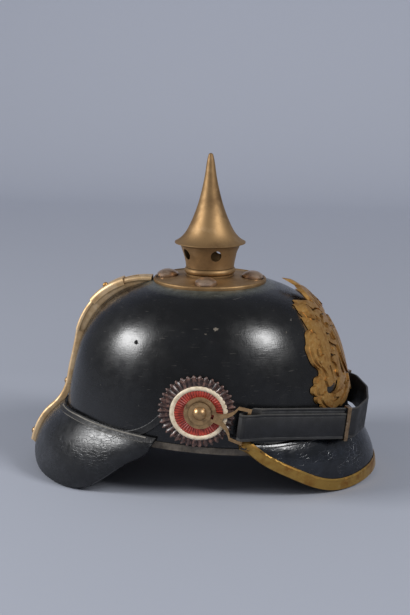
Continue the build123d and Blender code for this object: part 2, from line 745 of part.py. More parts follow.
def make_strap_lug():
    """A ring on the post, a waist with a slot, and a triangle whose far side carries the strap."""
    far = lug_reach + lug_bar_width / 2
    inner = lug_reach - lug_bar_width / 2
    outline = fishtail(
        (lug_waist_at, lug_waist_half), (lug_bend_at, lug_bend_half),
        (lug_shoulder_at, lug_shoulder_half), (far, lug_bar_half),
    )
    window = fishtail(
        (lug_waist_at + lug_arm * 2, lug_arm / 2), (lug_bend_at + lug_arm / 2, lug_bend_half - lug_arm),
        (lug_shoulder_at, lug_shoulder_half - lug_arm), (inner, lug_bar_half - lug_arm),
    )
    neck = Pos(lug_waist_at / 2, 0) * Rectangle(lug_waist_at, lug_waist_half * 2)
    sheet = outline + neck + Circle(lug_ring_radius) - window
    sheet -= Circle(post_neck_radius + fit_gap)
    sheet -= Pos(post_neck_radius + lug_slot_length / 2, 0) * Rectangle(lug_slot_length, lug_slot_width)
    plane = Plane(origin=(0, -lug_back, 0), x_dir=(1, 0, 0), z_dir=(0, -1, 0))
    return lug_place() * extrude(plane * sheet, lug_sheet)


def strap_place():
    """The strap is drawn level and slopes down to the front about the lug's bar."""
    bar = (lug_place() * Pos(lug_reach, 0, 0)).position
    return bar, Pos(bar.X, 0, bar.Z) * Rot(0, strap_slope, 0) * Pos(-bar.X, 0, 0)


def strap_run(bar_x):
    """Start and direction of the straight run at the right side."""
    start = Vector(bar_x, -lug_middle, 0)
    return start, (Vector(strap_corner_x, -strap_corner_y, 0) - start).normalized()


def strap_block(start, along, first, last, low, high, width):
    """A block beside the straight run: first to last along it, low to high outward from its middle."""
    outward = Vector(along.Y, -along.X, 0)
    middle = start + along * ((first + last) / 2) + outward * ((low + high) / 2)
    place = Plane(middle, x_dir=along, z_dir=(0, 0, 1))
    return place.location * Box(last - first, high - low, width)


def make_chinstrap():
    """The long strap, from the right lug round the front to the left lug."""
    bar, place = strap_place()
    start, along = strap_run(bar.X)
    first = start + along * fold_length
    half = [first, Vector(strap_corner_x, -strap_corner_y, 0), Vector(strap_front, -strap_nose_half, 0)]
    mirrored = [Vector(point.X, -point.Y, 0) for point in half[::-1]]
    radii = [strap_corner_radius, strap_nose_radius, strap_nose_radius, strap_corner_radius]
    path = FilletPolyline(*half, *mirrored, radius=radii)
    section = Plane(first, x_dir=(0, 0, 1), z_dir=along) * Pos(strap_raise, -strap_layer / 2) * Rectangle(strap_width, strap_layer)
    return place * sweep(section, path)


def make_strap_return():
    """The strap's end, folded round the lug's bar and brought forward to the buckle."""
    bar, place = strap_place()
    start, along = strap_run(bar.X)
    reach = (buckle_x - bar.X) / along.X
    swing = return_width / 2 * sin(radians(lug_droop - strap_slope))
    eye = (lug_sheet * along.X + lug_bar_width * along.Y) / 2 + swing * along.Y + seat_gap * 2
    back = -swing * along.X - lug_sheet / 2
    front = swing * along.X + lug_bar_width / 2
    outer_run = strap_block(start, along, fold_length, reach, 0, strap_layer, return_width)
    outer = Polyline(
        (back, eye + strap_layer), (front, eye + strap_layer), (fold_length, strap_layer),
        (fold_length, -strap_layer), (front, -eye - strap_layer), (back, -eye - strap_layer),
        (back, eye + strap_layer),
    )
    inner = Polyline(
        (back, eye), (front, eye), (fold_length - strap_layer, 0), (front, -eye), (back, -eye), (back, eye))
    loop = make_face(outer) + Pos(back, 0) * Circle(eye + strap_layer)
    loop -= make_face(inner) + Pos(back, 0) * Circle(eye)
    side = Plane(start, x_dir=along, z_dir=(0, 0, 1))
    fold = extrude(side * loop, return_width / 2, both=True)
    return place * (outer_run + fold)


def make_buckle():
    """A brass frame that slides along both layers of the strap."""
    bar, place = strap_place()
    start, along = strap_run(bar.X)
    last = (buckle_x - bar.X) / along.X
    first = last - buckle_length
    half = strap_layer + fit_gap
    high = half + buckle_wall
    outer = strap_block(start, along, first, last, -high, high, strap_width + (fit_gap + buckle_wall) * 2)
    inner = strap_block(start, along, first - buckle_wall, last + buckle_wall, -half, half, strap_width + fit_gap * 2)
    return place * Pos(0, 0, strap_raise) * (outer - inner)


def smooth(points):
    return Line(*points) if len(points) < 3 else Spline(*points)


def leaf(points, widths):
    """A tapering stroke: a smooth line through the points, as wide as widths from end to end."""
    line = smooth(points)
    count = len(widths) - 1
    left = []
    right = []
    for index, width in enumerate(widths):
        at = index / count
        middle = line @ at
        ahead = line % at
        aside = Vector(-ahead.Y, ahead.X, 0) * (width / 2)
        left.append(middle + aside)
        right.append(middle - aside)
    one = smooth(left)
    other = smooth(right[::-1])
    return make_face([one, Line(one @ 1, other @ 0), other, Line(other @ 1, one @ 0)])


def both_sides(faces):
    return faces + [mirror(face, about=Plane.YZ) for face in faces]


def plate_face():
    """The pierced outline: a spline per run down one side, closed by a line down the middle."""
    runs = [smooth(run) for run in plate_outline]
    middle = Line(runs[-1] @ 1, runs[0] @ 0)
    half = make_face([*runs, middle])
    return Sketch() + both_sides([half]) - both_sides([leaf(*stroke) for stroke in plate_piercings])


def plate_shield(size_share):
    """Half of the shield, drawn smaller about its middle for the raised field."""
    middle = (plate_shield_points[0][1] + plate_shield_points[-1][1]) / 2
    points = [(out * size_share, middle + (up - middle) * size_share) for out, up in plate_shield_points]
    top, corner, flank, belly, point = points
    edge = Polyline(point, top, corner, flank)
    return make_face([edge, ThreePointArc(flank, belly, point)])


def plate_layer(faces, offset):
    """Flat faces carried forward, up to a set distance from the shell."""
    flat = Sketch() + both_sides(faces)
    return extrude(Plane.YZ * flat, shell_front + overrun) & dome(offset)


def make_front_plate():
    """Crown, shield, two rampant beasts and a scrolled base, stamped in three heights."""
    outer_share, inner_share = plate_border_shares
    shield = plate_shield(1) - plate_shield(outer_share) + plate_shield(inner_share)
    raised = [leaf(*stroke) for stroke in plate_beast + plate_scrolls] + [shield]
    plate = extrude(Plane.YZ * plate_face(), shell_front + overrun) & dome(plate_gap + plate_sheet)
    plate += plate_layer(raised, plate_gap + plate_sheet + plate_relief)
    plate += plate_layer([leaf(*stroke) for stroke in plate_head], plate_gap + plate_sheet + plate_boss)
    crown = plate_layer([leaf(*stroke) for stroke in plate_crown], plate_gap + plate_crown_front)
    crown -= dome(plate_gap + plate_crown_front - plate_crown_sheet)
    foot = Pos(plate_crown_foot_x, 0, plate_crown_foot_z)
    crown = foot * Rot(0, plate_crown_lean, 0) * foot.inverse() * crown
    return ahead_of_plate_back(plate - dome(plate_gap)) + ahead_of_plate_back(crown)


def ahead_of_plate_back(solid):
    size = shell_half_length * 4
    return solid & Pos(plate_back, 0, 0) * Box(size, size, size, align=(Align.MIN, Align.CENTER, Align.CENTER))


def loop_leg(side, offset, radius):
    rod = Rot(0, 90, 0) * Cylinder(radius, shell_front + overrun, align=standing)
    return Pos(0, side * plate_loop_y + offset, plate_loop_z) * rod


def make_plate_loops():
    """Staples behind the plate that pass through the shell."""
    loops = []
    for side in (-1, 1):
        legs = loop_leg(side, -plate_loop_half, plate_loop_wire) + loop_leg(side, plate_loop_half, plate_loop_wire)
        legs &= dome(plate_gap) - dome(-shell_wall - plate_loop_depth)
        bridge = Pos(0, side * plate_loop_y, plate_loop_z) * Box(
            shell_front * 4, (plate_loop_half + plate_loop_wire) * 2, plate_loop_wire * 2)
        inner = dome(-shell_wall - plate_loop_depth + plate_loop_wire * 2)
        bridge = front_half(bridge) & (inner - dome(-shell_wall - plate_loop_depth))
        loops.append(legs + bridge)
    return loops


def make_plate_wedges():
    """Leather wedges driven through the staples inside the shell."""
    wedges = []
    for side in (-1, 1):
        block = Pos(0, side * plate_loop_y, plate_loop_z) * Box(
            shell_front * 4, (plate_loop_half - plate_loop_wire - seat_gap) * 2, plate_wedge_length)
        layer = inner_dome - dome(-shell_wall - plate_wedge_thickness)
        wedges.append(front_half(block & layer))
    return wedges


outer_dome = dome(0)
inner_dome = dome(-shell_wall)
rear_visor = visor(rear_stations()) - outer_dome
rear_welt = welt(rear_stations()) - outer_dome - rear_visor
front_visor = visor(front_stations()) - outer_dome
front_trim = trim(front_stations()) - outer_dome - front_visor
front_welt = welt(front_stations()) - outer_dome - front_visor - front_trim
shell = make_shell()
base_plate = make_base_plate()
rear_spine = make_rear_spine()
vent_slider = make_vent_slider()

nodes = {
    "shell": shell,
    "rim_binding": make_rim_binding(),
    "sweatband": make_sweatband(),
    "rear_visor": rear_visor,
    "rear_visor_welt": rear_welt,
    "front_visor": front_visor,
    "front_visor_trim": front_trim,
    "front_visor_welt": front_welt,
    "rear_spine": rear_spine,
    "spine_rivets": make_spine_rivets(),
    "vent_slider": vent_slider,
    "vent_slider_knob": make_slider_knob(),
    "base_plate": base_plate,
    "base_studs": make_base_studs(),
    "stud_washers": make_stud_washers(),
    "bead_ring": make_bead_ring(),
    "spike_neck": make_neck(),
    "spike": make_spike(),
    "front_plate": make_front_plate(),
    "plate_loops": make_plate_loops(),
    "plate_wedges": make_plate_wedges(),
    "chinstrap": make_chinstrap(),
}
right_side = {
    "cockade": make_cockade(),
    "side_post": make_side_post(),
    "post_plate": make_post_plate(),
    "post_nut": make_post_nut(),
    "strap_lug": make_strap_lug(),
    "strap_return": make_strap_return(),
    "buckle": make_buckle(),
}
for name, piece in right_side.items():
    nodes["right_" + name] = piece
    nodes["left_" + name] = mirror(piece, about=Plane.XZ)


def solids_of(piece):
    if isinstance(piece, list):
        return [solid for item in piece for solid in item.solids()]
    return piece.solids()


# The helmet's own frame has its origin under the middle of its box, on the surface it stands on
box = Compound([solid for piece in nodes.values() for solid in solids_of(piece)]).bounding_box()
to_frame = Pos(-box.center().X, -box.center().Y, -box.min.Z)
for name, piece in nodes.items():
    export_step(Compound([to_frame * solid for solid in solids_of(piece)]), "parts/" + name + ".step")
print("spike axis in the helmet's frame:", -box.center().X, -box.center().Y, -box.min.Z)
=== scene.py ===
from math import atan2, cos, pi, radians, sin, sqrt, tan

import bmesh
import bpy
from mathutils import Matrix, Vector, noise


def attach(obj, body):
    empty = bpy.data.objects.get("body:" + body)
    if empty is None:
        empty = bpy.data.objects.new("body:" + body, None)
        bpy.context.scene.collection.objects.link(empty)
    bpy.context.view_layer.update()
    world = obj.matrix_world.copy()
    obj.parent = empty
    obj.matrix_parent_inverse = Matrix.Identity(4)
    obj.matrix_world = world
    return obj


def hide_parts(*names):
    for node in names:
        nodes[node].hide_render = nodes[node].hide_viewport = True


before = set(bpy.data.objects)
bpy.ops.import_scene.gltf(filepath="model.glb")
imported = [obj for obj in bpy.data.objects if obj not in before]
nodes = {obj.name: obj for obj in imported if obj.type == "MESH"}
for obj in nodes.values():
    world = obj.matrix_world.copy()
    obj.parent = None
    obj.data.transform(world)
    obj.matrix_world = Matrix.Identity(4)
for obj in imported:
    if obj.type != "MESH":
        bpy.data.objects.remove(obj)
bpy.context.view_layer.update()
mm = 0.001
spikeAxis = Vector((5.650068, 0, -0.0345))    # the spike's axis in the frame, in mm: pieces are drawn about it
toFrame = Matrix.Scale(mm, 4) @ Matrix.Translation(spikeAxis)


def nearest(nodeName, point):    # the nearest place on a CAD node, and which way it faces
    found, spot, normal, index = nodes[nodeName].closest_point_on_mesh(toFrame @ Vector(point))
    return toFrame.inverted() @ spot, normal


# small helpers for materials
def fromHex(code):
    channels = [int(code[i:i + 2], 16) / 255 for i in (1, 3, 5)]
    return tuple(c / 12.92 if c <= 0.04045 else ((c + 0.055) / 1.055) ** 2.4 for c in channels) + (1.0,)


def perMm(size):
    return 1000 / size    # texture scale for a feature this many millimetres wide


def addNode(tree, kind, settings=None, links=None):
    node = tree.nodes.new(kind)
    for key, value in (settings or {}).items():
        if isinstance(key, int) or key in node.inputs:
            node.inputs[key].default_value = value
        else:
            setattr(node, key, value)
    for key, source in (links or {}).items():
        tree.links.new(source, node.inputs[key])
    return node


def newFinish(name, settings):
    finish = bpy.data.materials.new(name)
    finish.use_nodes = True
    tree = finish.node_tree
    shader = tree.nodes["Principled BSDF"]
    for socket, value in settings.items():
        shader.inputs[socket].default_value = value
    place = addNode(tree, "ShaderNodeTexCoord").outputs["Object"]
    return finish, tree, shader, place


def blendColours(tree, amount, first, second):
    mix = addNode(tree, "ShaderNodeMix", {"data_type": "RGBA"})
    sockets = {"A": mix.inputs[6], "B": mix.inputs[7]}
    for key, value in (("A", first), ("B", second)):
        if isinstance(value, str):
            sockets[key].default_value = fromHex(value)
        else:
            tree.links.new(value, sockets[key])
    tree.links.new(amount, mix.inputs[0])
    return mix.outputs[2]


def spread(tree, value, low, high, start=0.0, end=1.0):
    return addNode(tree, "ShaderNodeMapRange", {1: low, 2: high, 3: start, 4: end}, {0: value}).outputs[0]


def times(tree, first, second):
    return addNode(tree, "ShaderNodeMath", {"operation": "MULTIPLY"}, {0: first, 1: second}).outputs[0]


def noiseAt(tree, place, size, detail=3.0, rough=0.55, warp=0.0):
    settings = {"Scale": perMm(size), "Detail": detail, "Roughness": rough, "Distortion": warp}
    return addNode(tree, "ShaderNodeTexNoise", settings, {"Vector": place}).outputs["Fac"]


def stretched(tree, place, stretch, shift=(0, 0, 0)):
    return addNode(tree, "ShaderNodeMapping", {"Location": shift, "Scale": stretch}, {"Vector": place}).outputs[0]


def raised(tree, shader, height, depth, strength=1.0):
    settings = {"Strength": strength, "Distance": depth * mm}
    bump = addNode(tree, "ShaderNodeBump", settings, {"Height": height})
    tree.links.new(bump.outputs[0], shader.inputs["Normal"])


def paint(tree, shader, colour, rough):
    tree.links.new(colour, shader.inputs["Base Color"])
    tree.links.new(rough, shader.inputs["Roughness"])


# lacquered leather: many rubbed coats of black lacquer, so it mirrors the lamps with a soft orange peel
lacquer = {
    "colour": "#060607", "cloud": "#0e0f12", "chip": "#57534e", "dust": "#74766c", "peel": 3.6,
    "chipSpacing": 9.0, "chipWidth": 0.5, "roughness": (0.23, 0.31), "dustFrom": 45.0, "dustTo": 57.0,
    "lines": 0.9, "lineDepth": 0.06,
    "chips": (    # place about the spike's axis, reach, colour: the knocks seen on the right side
        ((12.1, -76.3, 133.4), 1.9, "#6f675c"), ((4.7, -79.2, 129.9), 0.8, "#5b544b"),
        ((-51.6, -74.8, 121.5), 2.1, "#020202"), ((68.4, -46.2, 136.3), 0.8, "#77706a"),
        ((65.8, -57.0, 128.2), 0.7, "#5d564e"),
    ),
}


def makeLacquer(name, looks):
    finish, tree, shader, place = newFinish(name, {"IOR": 1.5})
    cloud = spread(tree, noiseAt(tree, place, 38, 5), 0.42, 0.72)
    colour = blendColours(tree, cloud, looks["colour"], looks["cloud"])
    cells = addNode(tree, "ShaderNodeTexVoronoi", {"Scale": perMm(looks["chipSpacing"])}, {"Vector": place})
    speck = spread(tree, cells.outputs["Distance"], 0.02, looks["chipWidth"] / looks["chipSpacing"], 1, 0)
    patch = spread(tree, noiseAt(tree, place, 24, 2), 0.57, 0.6)
    colour = blendColours(tree, times(tree, speck, patch), colour, looks["chip"])
    level = noiseAt(tree, stretched(tree, place, (0.1, 0.1, 1)), looks["lines"], 2, 0.5)
    upright = noiseAt(tree, stretched(tree, place, (1, 1, 0.1)), looks["lines"], 2, 0.5)
    colour = blendColours(tree, spread(tree, level, 0.68, 0.75, 0, 0.4), colour, looks["chip"])
    flat = stretched(tree, place, (1, 1, 0), (-spikeAxis.x * mm, 0, 0))
    reach = addNode(tree, "ShaderNodeVectorMath", {"operation": "LENGTH"}, {0: flat}).outputs["Value"]
    near = spread(tree, reach, looks["dustFrom"] * mm, looks["dustTo"] * mm, 0.9, 0)
    colour = blendColours(tree, times(tree, near, noiseAt(tree, place, 5, 4)), colour, looks["dust"])
    ragged = addNode(tree, "ShaderNodeTexNoise", {"Scale": perMm(1.2), "Detail": 3.0}, {"Vector": place})
    jitter = addNode(tree, "ShaderNodeVectorMath", {"operation": "SCALE", "Scale": 0.0036}, {0: ragged.outputs["Color"]})
    bent = addNode(tree, "ShaderNodeVectorMath", {"operation": "ADD"}, {0: place, 1: jitter.outputs[0]}).outputs[0]
    bare = spread(tree, near, 0, 1, 0, 0.5)
    for spot, size, shade in looks["chips"]:
        centre = toFrame @ nearest("shell", spot)[0] + Vector((0.0018, 0.0018, 0.0018))
        settings = {"operation": "DISTANCE", 1: centre}
        away = addNode(tree, "ShaderNodeVectorMath", settings, {0: bent}).outputs["Value"]
        chip = spread(tree, away, size * mm * 0.7, size * mm, 1, 0)
        colour = blendColours(tree, chip, colour, shade)
        bare = addNode(tree, "ShaderNodeMath", {"operation": "MAXIMUM"}, {0: bare, 1: chip}).outputs[0]
    rough = spread(tree, noiseAt(tree, place, 9, 5), 0.35, 0.7, *looks["roughness"])
    rough = addNode(tree, "ShaderNodeMath", {"operation": "MAXIMUM"}, {0: rough, 1: bare}).outputs[0]
    paint(tree, shader, colour, rough)
    peel = spread(tree, noiseAt(tree, place, looks["peel"], 2), 0, 1, 0, 1.2)
    lines = addNode(tree, "ShaderNodeMath", {"operation": "ADD"}, {0: level, 1: upright}).outputs[0]
    height = addNode(tree, "ShaderNodeMath", {"operation": "ADD"}, {0: peel, 1: lines}).outputs[0]
    raised(tree, shader, height, looks["lineDepth"], 0.6)
    return finish


# crazed lacquer: the visors flex, so the coat has rippled and broken into fine cracks and rubbed patches
crazed = {
    "rippledLacquer": {
        "colour": "#0a0b0d", "worn": "#222326", "crack": "#2b2c2f", "crackSpacing": 3.2, "crackWidth": 0.07,
        "roughness": (0.25, 0.38), "ripple": 1.5, "rippleStretch": (0.06, 0.06, 1), "depth": 0.16,
    },
    "crinkledLacquer": {
        "colour": "#0b0e14", "worn": "#1d2129", "crack": "#33363d", "crackSpacing": 4.0, "crackWidth": 0.06,
        "roughness": (0.17, 0.28), "ripple": 7.0, "rippleStretch": (0.45, 0.8, 1), "depth": 0.5,
    },
}


def makeCrazed(name, looks):
    finish, tree, shader, place = newFinish(name, {"IOR": 1.5})
    warp = addNode(tree, "ShaderNodeTexNoise", {"Scale": perMm(7), "Detail": 3.0}, {"Vector": place})
    shift = addNode(tree, "ShaderNodeVectorMath", {"operation": "SCALE", "Scale": 0.005}, {0: warp.outputs["Color"]})
    bent = addNode(tree, "ShaderNodeVectorMath", {"operation": "ADD"}, {0: place, 1: shift.outputs[0]}).outputs[0]
    cells = stretched(tree, bent, (0.6, 0.6, 1.3))    # the cracks run mostly level
    settings = {"feature": "DISTANCE_TO_EDGE", "Scale": perMm(looks["crackSpacing"])}
    edge = addNode(tree, "ShaderNodeTexVoronoi", settings, {"Vector": cells}).outputs["Distance"]
    crack = spread(tree, edge, 0.0, looks["crackWidth"], 1, 0)
    crack = times(tree, crack, spread(tree, noiseAt(tree, place, 26, 3), 0.45, 0.65))
    worn = spread(tree, noiseAt(tree, place, 17, 5), 0.48, 0.75)
    colour = blendColours(tree, worn, looks["colour"], looks["worn"])
    colour = blendColours(tree, crack, colour, looks["crack"])
    rough = spread(tree, noiseAt(tree, place, 6, 4), 0.35, 0.7, *looks["roughness"])
    paint(tree, shader, colour, rough)
    ripple = noiseAt(tree, stretched(tree, bent, looks["rippleStretch"]), looks["ripple"], 3, 0.55, 0.6)
    sunk = spread(tree, crack, 0, 1, 0, 0.5)
    height = addNode(tree, "ShaderNodeMath", {"operation": "SUBTRACT"}, {0: ripple, 1: sunk}).outputs[0]
    raised(tree, shader, height, looks["depth"], 0.8)
    return finish


# bare and dressed leathers: pores and grain show, and edges scuff to grey-brown
leathers = {
    "edgeLeather": {"colour": "#403930", "worn": "#766c60", "grain": 1.4, "depth": 0.2, "roughness": (0.55, 0.8)},
    "weltLeather": {"colour": "#0f0f11", "worn": "#282726", "grain": 1.5, "depth": 0.3, "roughness": (0.36, 0.6)},
    "wornEdge": {"colour": "#6b675f", "worn": "#99938a", "grain": 1.2, "depth": 0.2, "roughness": (0.45, 0.7)},
    "strapLeather": {"colour": "#0f0f11", "worn": "#202023", "grain": 1.2, "depth": 0.1, "roughness": (0.5, 0.7),
                     "edge": "#5d5952"},
    "liningLeather": {"colour": "#5b3c22", "worn": "#8a643c", "grain": 2.2, "depth": 0.35, "roughness": (0.55, 0.85)},
    "waxedThread": {"colour": "#2b2722", "worn": "#4a4138", "grain": 0.6, "depth": 0.1, "roughness": (0.6, 0.8)},
    "linenThread": {"colour": "#8d7c60", "worn": "#6c5c44", "grain": 0.6, "depth": 0.1, "roughness": (0.7, 0.9)},
}


def makeLeather(name, looks):
    finish, tree, shader, place = newFinish(name, {"IOR": 1.48})
    worn = spread(tree, noiseAt(tree, place, 14, 5), 0.42, 0.74)
    streak = spread(tree, noiseAt(tree, stretched(tree, place, (1, 1, 0.08)), 1.1, 2), 0.5, 0.8, 0, 0.5)
    colour = blendColours(tree, worn, looks["colour"], looks["worn"])
    colour = blendColours(tree, streak, colour, looks["worn"])
    if "edge" in looks:    # the flanks of a cut strap rub pale along their corners
        corner = addNode(tree, "ShaderNodeNewGeometry").outputs["Pointiness"]
        colour = blendColours(tree, spread(tree, corner, 0.53, 0.62, 0, 0.7), colour, looks["edge"])
    rough = spread(tree, noiseAt(tree, place, 6, 4), 0.35, 0.7, *looks["roughness"])
    paint(tree, shader, colour, rough)
    grain = addNode(tree, "ShaderNodeTexVoronoi", {"Scale": perMm(looks["grain"])}, {"Vector": place})
    raised(tree, shader, grain.outputs["Distance"], looks["depth"], 0.5)
    return finish


# brass: satin under a thin brown oxide, which scatters light, so it is paler and duller than new metal
brasses = {
    "spunBrass": {"colour": "#987a54", "brown": "#6e5539", "pale": "#b0926c", "patch": 26, "roughness": (0.54, 0.64), "grime": "#3a2b1c"},
    "sheetBrass": {"colour": "#e6c79c", "brown": "#b8976c", "pale": "#f0dcbc", "patch": 15, "roughness": (0.46, 0.6), "grime": "#6e5638"},
    "postBrass": {"colour": "#b59268", "brown": "#67503a", "pale": "#d2b489", "patch": 6, "roughness": (0.34, 0.5), "grime": "#2a1f14"},
    "studBrass": {"colour": "#c0a48a", "brown": "#8f7262", "pale": "#d8c0a8", "patch": 6, "roughness": (0.28, 0.42), "grime": "#35271f"},
    "giltPlate": {"colour": "#bd8f50", "brown": "#7d4f22", "pale": "#dcbd86", "patch": 5, "roughness": (0.4, 0.58), "grime": "#3a2a14"},
    "trimBrass": {"colour": "#b08b47", "brown": "#84521f", "pale": "#c8a765", "patch": 15, "roughness": (0.32, 0.5), "grime": "#5a3514"},
    "buckleBrass": {"colour": "#8a7258", "brown": "#40362c", "pale": "#b9a78d", "patch": 5, "roughness": (0.3, 0.5), "grime": "#1c1713"},
    "dullSteel": {"colour": "#7a7875", "brown": "#4a3f36", "pale": "#9a9893", "patch": 4, "roughness": (0.38, 0.6), "grime": "#2c241e"},
}


def makeBrass(name, looks):
    finish, tree, shader, place = newFinish(name, {"Metallic": 0.85})
    brown = spread(tree, noiseAt(tree, place, looks["patch"], 6, 0.62), 0.46, 0.72)
    pale = spread(tree, noiseAt(tree, place, looks["patch"] * 0.4, 4), 0.55, 0.75, 0, 0.6)
    colour = blendColours(tree, brown, looks["colour"], looks["brown"])
    colour = blendColours(tree, pale, colour, looks["pale"])
    spots = spread(tree, noiseAt(tree, place, 1.6, 3), 0.66, 0.74, 0, 0.7)    # small dark tarnish spots
    colour = blendColours(tree, spots, colour, looks["brown"])
    settings = {"samples": 8, "Distance": 2.2 * mm}
    openness = addNode(tree, "ShaderNodeAmbientOcclusion", settings).outputs["AO"]    # dirt keeps to the hollows
    colour = blendColours(tree, spread(tree, openness, 0.35, 0.9, 0.85, 0), colour, looks["grime"])
    paint(tree, shader, colour, spread(tree, brown, 0, 1, *looks["roughness"]))
    turned = noiseAt(tree, stretched(tree, place, (0.15, 0.15, 1)), 0.8, 3)    # faint lines from spinning
    raised(tree, shader, turned, 0.05, 0.35)
    return finish


# cockade paints: thick oil paint on pleated tin, chipped on its crests and dirty in its folds; a paler colour along
# each crest is a painted highlight
# crest: the paler colour painted along each pleat's crest as a painted highlight
paints = {
    "blackPaint": {"colour": "#3b2b28", "chip": "#7d5a4e", "dirt": "#171110", "chips": (0.48, 0.68), "crest": "#9a7b70"},
    "ivoryPaint": {"colour": "#ead9bd", "chip": "#6a4438", "dirt": "#bca98c", "chips": (0.69, 0.73), "crest": "#f2e6d2"},
    "redPaint": {"colour": "#b8402f", "chip": "#c9a79a", "dirt": "#7c2a20", "chips": (0.7, 0.76), "crest": "#c96250"},
    "bluePaint": {"colour": "#4f7ba6", "chip": "#b8bcb8", "dirt": "#2d4763", "chips": (0.7, 0.76), "crest": "#86a8c6"},
}


def makePaint(name, looks):
    finish, tree, shader, place = newFinish(name, {"IOR": 1.5})
    dirt = spread(tree, noiseAt(tree, place, 4, 4), 0.42, 0.72)
    colour = blendColours(tree, dirt, looks["colour"], looks["dirt"])
    chip = spread(tree, noiseAt(tree, place, 2.4, 4, 0.6), *looks["chips"])
    colour = blendColours(tree, chip, colour, looks["chip"])
    # painted highlight: the sharpest pleat crests are coloured paler, standing in for the light they catch
    corner = addNode(tree, "ShaderNodeNewGeometry").outputs["Pointiness"]
    colour = blendColours(tree, spread(tree, corner, 0.54, 0.68, 0, 0.5), colour, looks["crest"])
    paint(tree, shader, colour, spread(tree, dirt, 0, 1, 0.26, 0.45))
    raised(tree, shader, noiseAt(tree, place, 0.9, 3), 0.08, 0.5)
    return finish


finishes = {"lacqueredLeather": makeLacquer("lacqueredLeather", lacquer)}
makers = ((makeCrazed, crazed), (makeLeather, leathers), (makeBrass, brasses), (makePaint, paints))
for makeOne, looksOfEach in makers:
    for name, looks in looksOfEach.items():
        finishes[name] = makeOne(name, looks)

finishOfNode = {
    "shell": "lacqueredLeather", "rim_binding": "edgeLeather", "sweatband": "liningLeather",
    "rear_visor": "rippledLacquer", "rear_visor_welt": "weltLeather", "front_visor": "crinkledLacquer",
    "front_visor_welt": "crinkledLacquer", "front_visor_trim": "trimBrass", "rear_spine": "sheetBrass",
    "spine_rivets": "postBrass", "vent_slider": "sheetBrass", "vent_slider_knob": "giltPlate",
    "base_plate": "spunBrass", "base_studs": "studBrass", "stud_washers": "dullSteel",
    "bead_ring": "spunBrass", "spike_neck": "spunBrass", "spike": "spunBrass",
    "front_plate": "giltPlate", "plate_loops": "postBrass", "plate_wedges": "liningLeather",
    "chinstrap": "strapLeather",
}
for side in ("right", "left"):
    finishOfNode[side + "_cockade"] = "blackPaint"
    finishOfNode[side + "_side_post"] = "postBrass"
    finishOfNode[side + "_post_plate"] = "dullSteel"
    finishOfNode[side + "_post_nut"] = "dullSteel"
    finishOfNode[side + "_strap_lug"] = "postBrass"
    finishOfNode[side + "_strap_return"] = "strapLeather"
    finishOfNode[side + "_buckle"] = "buckleBrass"
for name, node in nodes.items():
    node.data.materials.clear()
    node.data.materials.append(finishes[finishOfNode[name]])
print("finishes on", len(nodes), "nodes")


# small helpers for shapes: every piece is drawn in millimetres about the spike's axis
def onlyFaces(parts):
    return [part for part in parts if isinstance(part, bmesh.types.BMFace)]


def onlyVerts(parts):
    return [part for part in parts if isinstance(part, bmesh.types.BMVert)]


def finishPiece(name, shape, finish, body, stands=(), sharp=38, wall=0.0):
    bmesh.ops.remove_doubles(shape, verts=shape.verts, dist=0.005)
    bmesh.ops.recalc_face_normals(shape, faces=shape.faces)
    bmesh.ops.transform(shape, matrix=toFrame, verts=shape.verts)
    mesh = bpy.data.meshes.new(name)
    shape.to_mesh(mesh)
    shape.free()
    mesh.polygons.foreach_set("use_smooth", [True] * len(mesh.polygons))
    mesh.set_sharp_from_angle(angle=radians(sharp))
    mesh.materials.append(finishes[finish])
    piece = bpy.data.objects.new(name, mesh)
    bpy.context.scene.collection.objects.link(piece)
    if wall:
        thick = piece.modifiers.new("wall", "SOLIDIFY")
        thick.thickness = wall * mm
        thick.offset = 0
    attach(piece, body)
    if stands:
        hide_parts(*stands)
    return piece


def layAlong(shape, outline, places):
    end = [shape.faces.new([shape.verts.new(places[0] @ Vector(point)) for point in outline])]
    for before, after in zip(places, places[1:]):
        grown = bmesh.ops.extrude_face_region(shape, geom=end)["geom"]
        end = onlyFaces(grown)
        bmesh.ops.transform(shape, matrix=after @ before.inverted(), verts=onlyVerts(grown))


def flipSide(shape):
    bmesh.ops.scale(shape, vec=(1, -1, 1), verts=shape.verts)


def between(value, xs, ys):
    for index in range(len(xs) - 1):
        if value <= xs[index + 1] or index == len(xs) - 2:
            share = (value - xs[index]) / (xs[index + 1] - xs[index])
            return ys[index] + (ys[index + 1] - ys[index]) * min(max(share, 0), 1)


def facing(spot, ahead, normal):    # a place whose X runs ahead and whose Z stands on the surface
    aside = normal.cross(ahead).normalized()
    ahead = aside.cross(normal).normalized()
    turn = Matrix((ahead, aside, normal.normalized())).transposed().to_4x4()
    return Matrix.Translation(spot) @ turn


def evenly(points, spacing):    # points at an even spacing along a chain
    spots = [points[0]]
    left = spacing
    for first, last in zip(points, points[1:]):
        length = (last - first).length
        while left < length:
            spots.append(first.lerp(last, left / length))
            left += spacing
        left -= length
    return spots


# chinstrap: one long strap round the front, and a return at each side that folds through the lug
strap = {
    "width": 25.0, "returnWidth": 21.0, "layer": 1.8, "rise": 2.0, "slope": 6.7, "start": 12.0, "step": 5.0,
    "corner": (121.5, -53.2), "cornerRadius": 15.0, "nose": (130.6, -19.0), "noseRadius": 30.0,
    "buckleAt": 115.2, "out": 101.1, "edge": 0.45, "groove": 2.3, "grooveDepth": 0.28, "grooveHalf": 0.45,
    "wave": 0.25, "eyeBack": -2.1, "eyeOut": 3.05,
}
lug = {"post": (2.5, 73.2), "reach": 36.0, "droop": 16.0}
lugBar = Vector((
    lug["post"][0] + lug["reach"] * cos(radians(lug["droop"])), 0,
    lug["post"][1] - lug["reach"] * sin(radians(lug["droop"])),
))
strapPlace = (
    Matrix.Translation(lugBar) @ Matrix.Rotation(radians(strap["slope"]), 4, "Y")
    @ Matrix.Translation((-lugBar.x, 0, 0))
)
strapStart = Vector((lugBar.x, -strap["out"], 0))
strapHeading = atan2(strap["corner"][1] + strap["out"], strap["corner"][0] - lugBar.x)


